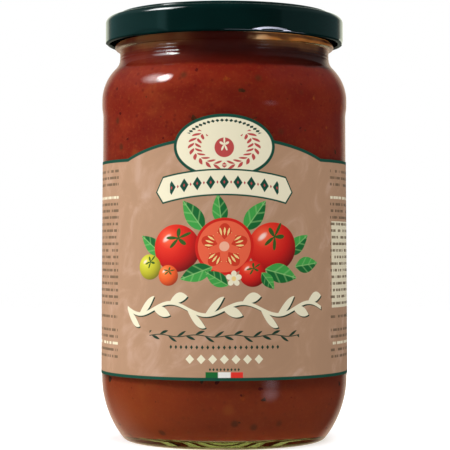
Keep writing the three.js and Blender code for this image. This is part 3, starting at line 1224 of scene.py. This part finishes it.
def blossom(sheet, across, up, radius):
    """A flower of five round petals with a golden eye."""
    eye = 0.3
    star(sheet, across, up, turn=0.3, wide=radius, high=radius, core=0.4, power=0.6, shade=INK["cream"])
    sheet.ink(within(sheet.far_from(across, up), eye * radius), INK["seed"])


def vine(sheet, centre, half_length, wave, rise, pitch, leaf_rise, leaf_width, stem, shift, shade):
    """A stem on a sine wave, with a leaf in each stretch of one pitch, above and below it in turn.

    In a stretch, with t from 0 to 1, a leaf's middle climbs by leaf_rise t away from the stem, and its half
    width is 4 leaf_width t (1 - t). shift moves the whole to the lower right.
    """
    across = sheet.across - shift
    off = (sheet.up + (shift - centre)) - (across * (TURN / wave)).math("SINE") * rise
    cell = across / pitch
    t = cell.math("FRACT")
    way = (cell.math("FLOOR") * 0.5).math("FRACT") * 4.0 - 1.0
    leaves = within(abs(off * way - t * leaf_rise - stem) - t * (1.0 - t) * (4.0 * leaf_width), 0.0)
    both = leaves.math("MAXIMUM", within(abs(off), stem))
    sheet.ink(both * within(abs(across), half_length), shade)


def lozenges(sheet, place, half_length, pitch, half_width, half_height, shade):
    """A row of lozenges along a line: place is the height above that line."""
    x = (sheet.across / pitch + 0.5).math("FRACT") - 0.5
    edge = abs(x) * (pitch / half_width) + abs(place) / half_height
    sheet.ink(within(edge, 1.0, half_width) * within(abs(sheet.across), half_length), shade)


def side_bars(sheet):
    """Columns of rows of short bars at both sides, with a pale row now and then."""
    pitch = 2.3
    bar_half = 0.2
    first = 43.5
    first_edge = 0.1
    column = 30.2
    column_share = 0.9
    middle = 62.4
    half_height = 33.6
    bar_rate = 0.75
    row_shift = 3.7
    strength = 0.9
    bar_edge = (0.4, 0.46)
    blank_share = (0.12, 0.13)
    pale_share = (0.84, 0.85)
    row = sheet.up / pitch
    row_number = row.math("FLOOR")
    chance = row.node("ShaderNodeTexWhiteNoise", {"noise_dimensions": "1D"}, {"W": row_number})
    at = row.node("ShaderNodeCombineXYZ", None, {0: sheet.across * bar_rate, 1: row_number * row_shift})
    bars = row.node("ShaderNodeTexNoise", {"noise_dimensions": "2D"},
                    {"Vector": at, "Scale": 1.0, "Detail": 1.0})
    beyond = abs(sheet.across) - first
    mask = bars.step(*bar_edge) * within(abs(row.math("FRACT") - 0.5), bar_half, pitch)
    in_column = within((beyond / column).math("FRACT"), column_share, column) * beyond.step(0.0, first_edge)
    in_rows = chance.step(*blank_share) * within(abs(sheet.up - middle), half_height)
    sheet.ink(mask * in_column * in_rows * strength, chance.step(*pale_share).mix(INK["bar"], INK["cream"]))


def cream_panel(sheet, across, up, half_width, half_height):
    """A pale field with square corners."""
    strength = 0.85
    out = (abs(sheet.across - across) - half_width).math("MAXIMUM", abs(sheet.up - up) - half_height)
    sheet.ink(within(out, 0.0) * strength, INK["cream"])


def still_life(sheet):
    """A garland of fruit, leaves and a blossom across the label, from back to front."""
    for form in BACK_LEAVES:
        leaf(sheet, form)
    for ball in BIG_BALLS:
        ball_fruit(sheet, ball)
    halved_fruit(sheet, across=0.0, up=69.2, radius=9.6)
    for ball in SMALL_BALLS:
        ball_fruit(sheet, ball)
    for form in FRONT_LEAVES:
        leaf(sheet, form)
    blossom(sheet, across=3.2, up=58.4, radius=2.7)


def oval_field(sheet, look):
    """The oval: green ring, cream field, a wreath of paired leaves round a small fruit, and dots above.

    Dots and leaves follow rings that are shares of the oval, at so many to a radian from its top.
    """
    wide = look.oval_half_width / MM
    high = look.oval_half_height / MM
    up = look.oval_height / MM
    dot_ring = 0.8
    dot_rate = 9.0
    dot_slimness = 2.2
    dot_half_height = 0.55
    dot_unit = 0.5
    dots_end = 1.05
    leaf_ring = 0.58
    leaf_rate = 3.6
    leaf_rise = 0.11
    leaf_gap = 0.015
    leaf_width = 0.17
    leaves_start = 0.75
    fruit_radius = 3.3
    fruit_drop = 0.4
    star_lift = 0.6
    at = sheet.seen_from(0.0, up, 0.0, wide, high)
    far = size_of(at)
    inside = size_of(sheet.seen_from(0.0, up, 0.0, wide - LINE_WIDTH, high - LINE_WIDTH))
    sheet.ink(within(far, 1.0, high), INK["green"])
    sheet.ink(within(inside, 1.0, high), INK["cream"])
    u, v, _ = parts_of(at)
    turn = abs(u.math("ARCTAN2", v))
    dots = (abs((turn * dot_rate).math("FRACT") - 0.5) * dot_slimness
            + abs(far - dot_ring) * (high / dot_half_height))
    sheet.ink(within(dots, 1.0, dot_unit) * within(turn, dots_end, high), INK["dark green"])
    cell = (turn * leaf_rate).math("FRACT")
    off = abs(far - leaf_ring)
    pair = abs(off - cell * leaf_rise - leaf_gap) - cell * (1.0 - cell) * leaf_width
    sheet.ink(within(pair, 0.0, high) * within(0.0 - turn, -leaves_start, high), INK["brick"])
    sheet.ink(within(sheet.far_from(0.0, up - fruit_drop), fruit_radius), INK["brick"])
    star(sheet, 0.0, up + star_lift, QUARTER, wide=2.5, high=1.7, core=0.15, power=2.0, shade=INK["cream"])


def from_arch_centre(sheet, look):
    """Distance from the centre of the arch's circle, and the height of that centre."""
    centre = (look.arch_crown - look.arch_radius) / MM
    return sheet.far_from(0.0, centre), centre


def plaque(sheet, look):
    """A cream band with notched ends, bent like the arch above it, with two rows of lozenges."""
    middle = 90.8
    half_height = 4.5
    half_length = 24.5
    end_slant = 0.6
    border = 0.55
    far, centre = from_arch_centre(sheet, look)
    bend = far - (middle - centre)
    off = abs(bend)
    out = (off - half_height).math("MAXIMUM", abs(sheet.across) + off * end_slant - half_length)
    sheet.ink(within(out, 0.0), INK["green"])
    sheet.ink(within(out, -border), INK["cream"])
    lozenges(sheet, bend, half_length=19.0, pitch=4.6, half_width=1.55, half_height=2.3, shade=INK["green"])
    lozenges(sheet, bend, half_length=19.0, pitch=2.3, half_width=0.35, half_height=0.6, shade=INK["brick"])


def green_border(sheet, look):
    """A green line along the arch and the level sides, and one along the foot."""
    far, _ = from_arch_centre(sheet, look)
    under_arch = within(far, look.arch_radius / MM - LINE_WIDTH)
    under_side = within(sheet.up, look.side_top / MM - LINE_WIDTH)
    sheet.ink(1.0 - under_arch.math("MAXIMUM", under_side), INK["green"])
    sheet.ink(within(sheet.up, LABEL_FOOT / MM + LINE_WIDTH), INK["green"])


def front_lines(sheet):
    """The rows of ornament under the garland, and the three-colour stripe at the foot."""
    shadow = 0.4
    dots_up = 35.4
    diamonds_up = 31.4
    specks_up = 28.0
    stripe_up = 26.0
    stripe_half = 1.15
    third = 4.2
    join = (0.45 * third, 0.55 * third)
    for shift, shade in ((shadow, INK["dark green"]), (0.0, INK["cream"])):
        vine(sheet, centre=48.2, half_length=37.5, wave=25.0, rise=2.0, pitch=6.25, leaf_rise=3.6,
             leaf_width=1.7, stem=0.6, shift=shift, shade=shade)
    vine(sheet, centre=39.2, half_length=27.0, wave=13.0, rise=0.35, pitch=3.25, leaf_rise=1.5,
         leaf_width=0.5, stem=0.16, shift=0.0, shade=INK["dark green"])
    lozenges(sheet, sheet.up - dots_up, half_length=19.2, pitch=1.85, half_width=0.5, half_height=0.75,
             shade=INK["dark green"])
    lozenges(sheet, sheet.up - diamonds_up, half_length=13.7, pitch=3.9, half_width=1.5, half_height=1.6,
             shade=INK["cream"])
    lozenges(sheet, sheet.up - specks_up, half_length=5.4, pitch=1.2, half_width=0.4, half_height=0.55,
             shade=INK["dark green"])
    in_stripe = within(abs(sheet.up - stripe_up), stripe_half) * within(abs(sheet.across), 1.5 * third)
    sheet.ink(in_stripe, INK["leaf shade"])
    sheet.ink(in_stripe * sheet.across.step(-join[1], -join[0]), INK["stripe white"])
    sheet.ink(in_stripe * sheet.across.step(*join), INK["stripe red"])


PAPER_SLANT = math.radians(48.0)
PAPER_STRETCH = 2.4
PAPER_DARK = 0.9
PAPER_EDGE = (0.35, 0.72)
SWIRL_EDGE = (0.48, 0.8)
SWIRL_STRENGTH = 0.45
FIBRE = Cloud(scale=2200.0, detail=3.0, roughness=0.7)


def paper_ground(start, look):
    """Tan paper with pale swirls that rise to the right."""
    long_way = start.node("ShaderNodeMapping", {"vector_type": "TEXTURE"}, {
        "Vector": object_place(start), "Rotation": (0.0, PAPER_SLANT, 0.0),
        "Scale": (1.0, 1.0, PAPER_STRETCH)})
    cloud = start.node("ShaderNodeTexNoise", None, {
        "Vector": long_way, "Scale": 80.0, "Detail": 6.0, "Roughness": 0.62, "Distortion": 1.6})
    shade = cloud.step(*PAPER_EDGE).mix(darker(look.paper, PAPER_DARK), look.paper)
    return (cloud.step(*SWIRL_EDGE) * SWIRL_STRENGTH).mix(shade, look.swirl)


def paper_material(look):
    """Tan uncoated paper with its print and fine fibres, plain on the glued side."""
    material, shader, start = new_material("tan_paper")
    ground = paper_ground(start, look)
    flat = start.node("ShaderNodeUVMap", {"uv_map": UV_NAME})
    place = start.node("ShaderNodeVectorMath", {"operation": "MULTIPLY_ADD"}, {
        0: flat, 1: (PRINT_SPAN, PRINT_SPAN, 0.0), 2: (-UV_MIDDLE * PRINT_SPAN, 0.0, 0.0)})
    sheet = Sheet(place, ground)
    cream_panel(sheet, across=58.0, up=63.0, half_width=13.6, half_height=15.0)
    cream_panel(sheet, across=-118.0, up=50.0, half_width=13.6, half_height=18.0)
    side_bars(sheet)
    still_life(sheet)
    front_lines(sheet)
    green_border(sheet, look)
    oval_field(sheet, look)
    plaque(sheet, look)
    fibre = FIBRE.noise(start)
    feed(shader, {
        "Base Color": sheet.up.step(*GLUED_FROM).mix(sheet.shade, ground),
        "Roughness": 0.6 + fibre * 0.2,
        "Specular IOR Level": 0.3,
        "Normal": fibre.node("ShaderNodeBump", None, {
            "Height": fibre, "Strength": 0.15, "Distance": 0.03 * MM}),
    })
    return material


class JAR_OT_label(Operator):
    """Wraps the printed paper label round the jar"""

    bl_idname = "jar.label"
    bl_label = "Label"

    def execute(self, context):
        look = context.scene.label_look
        points, faces, flat_map = label_sheet(context.scene.jar_sizes, look)
        piece = new_piece("paper_label", points, faces, paper_material(look), "tan_paper", "label")
        piece.data.uv_layers.new(name=UV_NAME).data.foreach_set("uv", flat_map.ravel())
        return {"FINISHED"}


# Stage

class Lamp(NamedTuple):
    """A soft lamp, placed by its turn from the front, its lift and its distance.

    Angles are in degrees and sizes in metres.
    """

    name: str
    azimuth: float
    elevation: float
    radiance: float
    distance: float = 1.5
    wide: float = 1.0
    high: float = 1.0
    shade: tuple = WHITE


class Patch(NamedTuple):
    """A bright oval in the sky: its place and half sizes in degrees, and the share of it that is even."""

    azimuth: float
    elevation: float
    half_width: float
    half_height: float
    core: float
    radiance: float


TEAL = (0.45, 1.0, 1.0)
PALE_GREEN = (0.7, 1.0, 0.85)
PALE_BLUE = (0.8, 0.82, 1.0)
FILL_LAMPS = (
    Lamp("fill", 20.0, 58.0, 6.6),
    Lamp("side_fill", -92.0, 22.0, 5.1),
    Lamp("right_fill", 100.0, 5.0, 0.9),
    Lamp("back_fill", 160.0, 50.0, 3.0),
)
LID_LAMPS = (
    Lamp("lid_panel_left", -100.0, 0.0, 0.2, distance=1.0, wide=2.0, high=2.0, shade=TEAL),
    Lamp("lid_strip", -61.0, 10.0, 0.22, distance=1.0, wide=0.16, high=1.2, shade=TEAL),
    Lamp("lid_panel_right", 100.0, 0.0, 0.11, distance=1.0, wide=2.0, high=2.0, shade=TEAL),
    Lamp("lid_key", -66.0, 36.0, 12.0, distance=1.0, wide=0.5, high=0.5),
    Lamp("lid_edge_left", -164.0, 0.0, 0.6, distance=1.0, wide=0.6, high=1.0, shade=PALE_GREEN),
    Lamp("lid_edge_right", 164.0, 0.0, 0.6, distance=1.0, wide=0.6, high=1.0, shade=PALE_GREEN),
    Lamp("lug_glint", 44.0, -36.0, 26.0, distance=0.6, wide=0.9, high=0.13, shade=PALE_BLUE),
)

# Glints in the studio's sky
KEY = Patch(azimuth=-66.0, elevation=36.0, half_width=11.0, half_height=11.0, core=0.3, radiance=22.0)
KEY_HALO = Patch(azimuth=-76.0, elevation=34.0, half_width=22.0, half_height=13.0, core=0.1, radiance=7.0)
CARD = Patch(azimuth=44.0, elevation=-15.0, half_width=12.0, half_height=11.0, core=0.0, radiance=1.5)

# Where parts of the sky start and end: a side is a turn from the front, a line is a lift over the level
PANEL_FOOT_LINE = (math.radians(-5.0), math.radians(35.0))
PANEL_HEAD_LINE = (0.9, 1.2)
LEFT_SIDE = (math.radians(54.0), math.radians(60.0))
RIGHT_SIDE = (math.radians(36.0), math.radians(60.0))
BACK_SIDE = (math.radians(138.0), math.radians(162.0))
BACK_LINE = (0.25, 0.5)
TABLE_SIDE = (math.radians(95.0), math.radians(140.0))
TABLE_LINE = (-0.5, -0.05)
GROUND_LINE = (-0.3, -0.05)

# Brightness of the parts of the sky
PANEL_LIGHT = 0.08
GROUND_LIGHT = 0.8
ROOM_LIGHT = 0.03
BACK_LIGHT = (0.6, 0.46, 0.34)
TABLE_LIGHT = (0.45, 0.3, 0.22)
CARD_LIGHT = (0.8, 0.85, 1.0)

# Shares of the floor's radius between which it fades out
FLOOR_FADE = (0.2, 0.95)


def facing(name, data, place, target):
    """A camera or light at a place, turned towards a target."""
    thing = bpy.data.objects.new(name, data)
    thing.location = place
    thing.rotation_euler = (Vector(target) - Vector(place)).to_track_quat("-Z", "Y").to_euler()
    bpy.context.scene.collection.objects.link(thing)
    return thing


def soft_box(lamp, centre):
    """A lamp of a given brightness that leaves no glint: its power follows its area."""
    turn = math.radians(lamp.azimuth)
    lift = math.radians(lamp.elevation)
    way = Vector((math.sin(turn) * math.cos(lift), -math.cos(turn) * math.cos(lift), math.sin(lift)))
    data = bpy.data.lights.new(lamp.name, "AREA")
    data.shape = "RECTANGLE"
    data.size = lamp.wide
    data.size_y = lamp.high
    data.energy = lamp.radiance * lamp.wide * lamp.high * math.pi
    data.color = lamp.shade
    box = facing(lamp.name, data, Vector(centre) + way * lamp.distance, centre)
    box.visible_camera = False
    box.visible_glossy = False
    box.visible_transmission = False
    return box


def sheen_lamp(piece, lamp, centre):
    """A soft lamp that shows as a sheen on one piece and lights nothing else."""
    box = soft_box(lamp, centre)
    box.visible_glossy = True
    lit = bpy.data.collections.new(lamp.name)
    lit.objects.link(piece)
    box.light_linking.receiver_collection = lit


def sky_patch(sky, patch):
    """A bright oval in the sky: full inside its core and nothing at its rim."""
    at = sky.node("ShaderNodeMapping", {"vector_type": "TEXTURE"}, {
        "Vector": sky,
        "Location": (math.radians(patch.azimuth), math.radians(patch.elevation), 0.0),
        "Scale": (math.radians(patch.half_width), math.radians(patch.half_height), 1.0)})
    return (1.0 - size_of(at).step(patch.core, 1.0)) * patch.radiance


def studio_world():
    """A studio with soft panels on a dark ground, dim at the sides. The camera sees plain white."""
    world = bpy.data.worlds.new("studio")
    world.use_nodes = True
    start = Value(world.node_tree)
    x, y, z = parts_of(start.node("ShaderNodeTexCoord", output="Generated"))
    turn = x.math("ARCTAN2", 0.0 - y)
    to_left = 0.0 - turn
    lift = z.math("ARCSINE")
    sky = start.node("ShaderNodeCombineXYZ", None, {0: turn, 1: lift})
    seen = start.node("ShaderNodeLightPath", output="Is Camera Ray")
    sides = (to_left.step(*LEFT_SIDE) + turn.step(*RIGHT_SIDE)) * PANEL_LIGHT
    panels = sides * lift.step(*PANEL_FOOT_LINE) * (1.0 - lift.step(*PANEL_HEAD_LINE))
    ground = (1.0 - lift.step(*GROUND_LINE)) * seen.other("Is Diffuse Ray") * GROUND_LIGHT
    glow = panels + ground + ROOM_LIGHT + sky_patch(sky, KEY) + sky_patch(sky, KEY_HALO)
    back = abs(turn).step(*BACK_SIDE) * (1.0 - lift.step(*BACK_LINE))
    table = (1.0 - lift.step(*TABLE_LINE)) * to_left.step(*TABLE_SIDE)
    card = sky_patch(sky, CARD)
    shade = start.node("ShaderNodeCombineColor", None, {
        part: glow + back * BACK_LIGHT[part] + table * TABLE_LIGHT[part] + card * CARD_LIGHT[part]
        for part in range(3)})
    straight = seen.math("MAXIMUM", seen.other("Is Transmission Ray"))
    background = next(node for node in world.node_tree.nodes if node.type == "BACKGROUND")
    feed(background, {"Color": straight.mix(shade, WHITE), "Strength": 1.0})
    bpy.context.scene.world = world


def floor_material(look):
    """Pale matt floor that fades out towards its rim."""
    material, shader, start = new_material("pale_floor")
    share = size_of(object_place(start)) / look.floor_radius
    feed(shader, {
        "Base Color": (*look.floor, 1.0),
        "Roughness": 0.9,
        "Emission Color": (*WHITE, 1.0),
        "Emission Strength": look.floor_glow,
        "Alpha": 1.0 - share.step(*FLOOR_FADE),
    })
    return material


def lay_floor(look):
    """A round floor under the jar, which throws no light back on it."""
    rings = line((look.floor_radius, -look.floor_drop), (0.0, -look.floor_drop), FLOOR_RINGS - 1)
    floor = new_mesh("floor", *revolved(rings, FLOOR_SIDES), floor_material(look))
    floor.visible_glossy = False
    floor.visible_diffuse = False


class JAR_OT_stage(Operator):
    """Sets the camera, the studio lights and the floor"""

    bl_idname = "jar.stage"
    bl_label = "Stage"

    def execute(self, context):
        scene = context.scene
        look = scene.stage_look
        data = bpy.data.cameras.new("camera")
        data.lens = look.lens
        place = (0.0, -look.camera_distance, look.camera_height)
        scene.camera = facing("camera", data, place, (look.aim_side, 0.0, look.aim_height))
        for lamp in FILL_LAMPS:
            soft_box(lamp, (0.0, 0.0, look.aim_height))
        for lamp in LID_LAMPS:
            sheen_lamp(scene.objects["twist_lid"], lamp, (0.0, 0.0, LID_FOOT))
        studio_world()
        lay_floor(look)
        scene.view_settings.view_transform = "Standard"
        scene.cycles.max_bounces = LIGHT_BOUNCES
        scene.cycles.glossy_bounces = LIGHT_BOUNCES
        scene.cycles.transmission_bounces = LIGHT_BOUNCES
        return {"FINISHED"}


class JAR_PT_dresser(Panel):
    """Lists the steps that dress the jar"""

    bl_idname = "JAR_PT_dresser"
    bl_label = "Sauce Jar"
    bl_space_type = "VIEW_3D"
    bl_region_type = "UI"
    bl_category = "Sauce Jar"

    def draw(self, context):
        for step in STEPS:
            self.layout.operator(step.bl_idname)


SETTINGS = {
    "jar_sizes": JarSizes,
    "sauce_look": SauceLook,
    "lid_sizes": LidSizes,
    "label_look": LabelLook,
    "stage_look": StageLook,
}
STEPS = (JAR_OT_glass, JAR_OT_sauce, JAR_OT_flecks, JAR_OT_lid, JAR_OT_label, JAR_OT_stage)


def register():
    """Adds the classes, and the settings on the scene."""
    for part in (*SETTINGS.values(), *STEPS, JAR_PT_dresser):
        bpy.utils.register_class(part)
    for name, group in SETTINGS.items():
        setattr(bpy.types.Scene, name, PointerProperty(type=group))


def unregister():
    """Takes the settings and the classes away again."""
    for name in SETTINGS:
        delattr(bpy.types.Scene, name)
    for part in reversed((*SETTINGS.values(), *STEPS, JAR_PT_dresser)):
        bpy.utils.unregister_class(part)


def main():
    """Runs the steps in order."""
    register()
    bpy.ops.jar.glass()
    bpy.ops.jar.sauce()
    bpy.ops.jar.flecks()
    bpy.ops.jar.lid()
    bpy.ops.jar.label()
    bpy.ops.jar.stage()


if __name__ == "__main__":
    main()
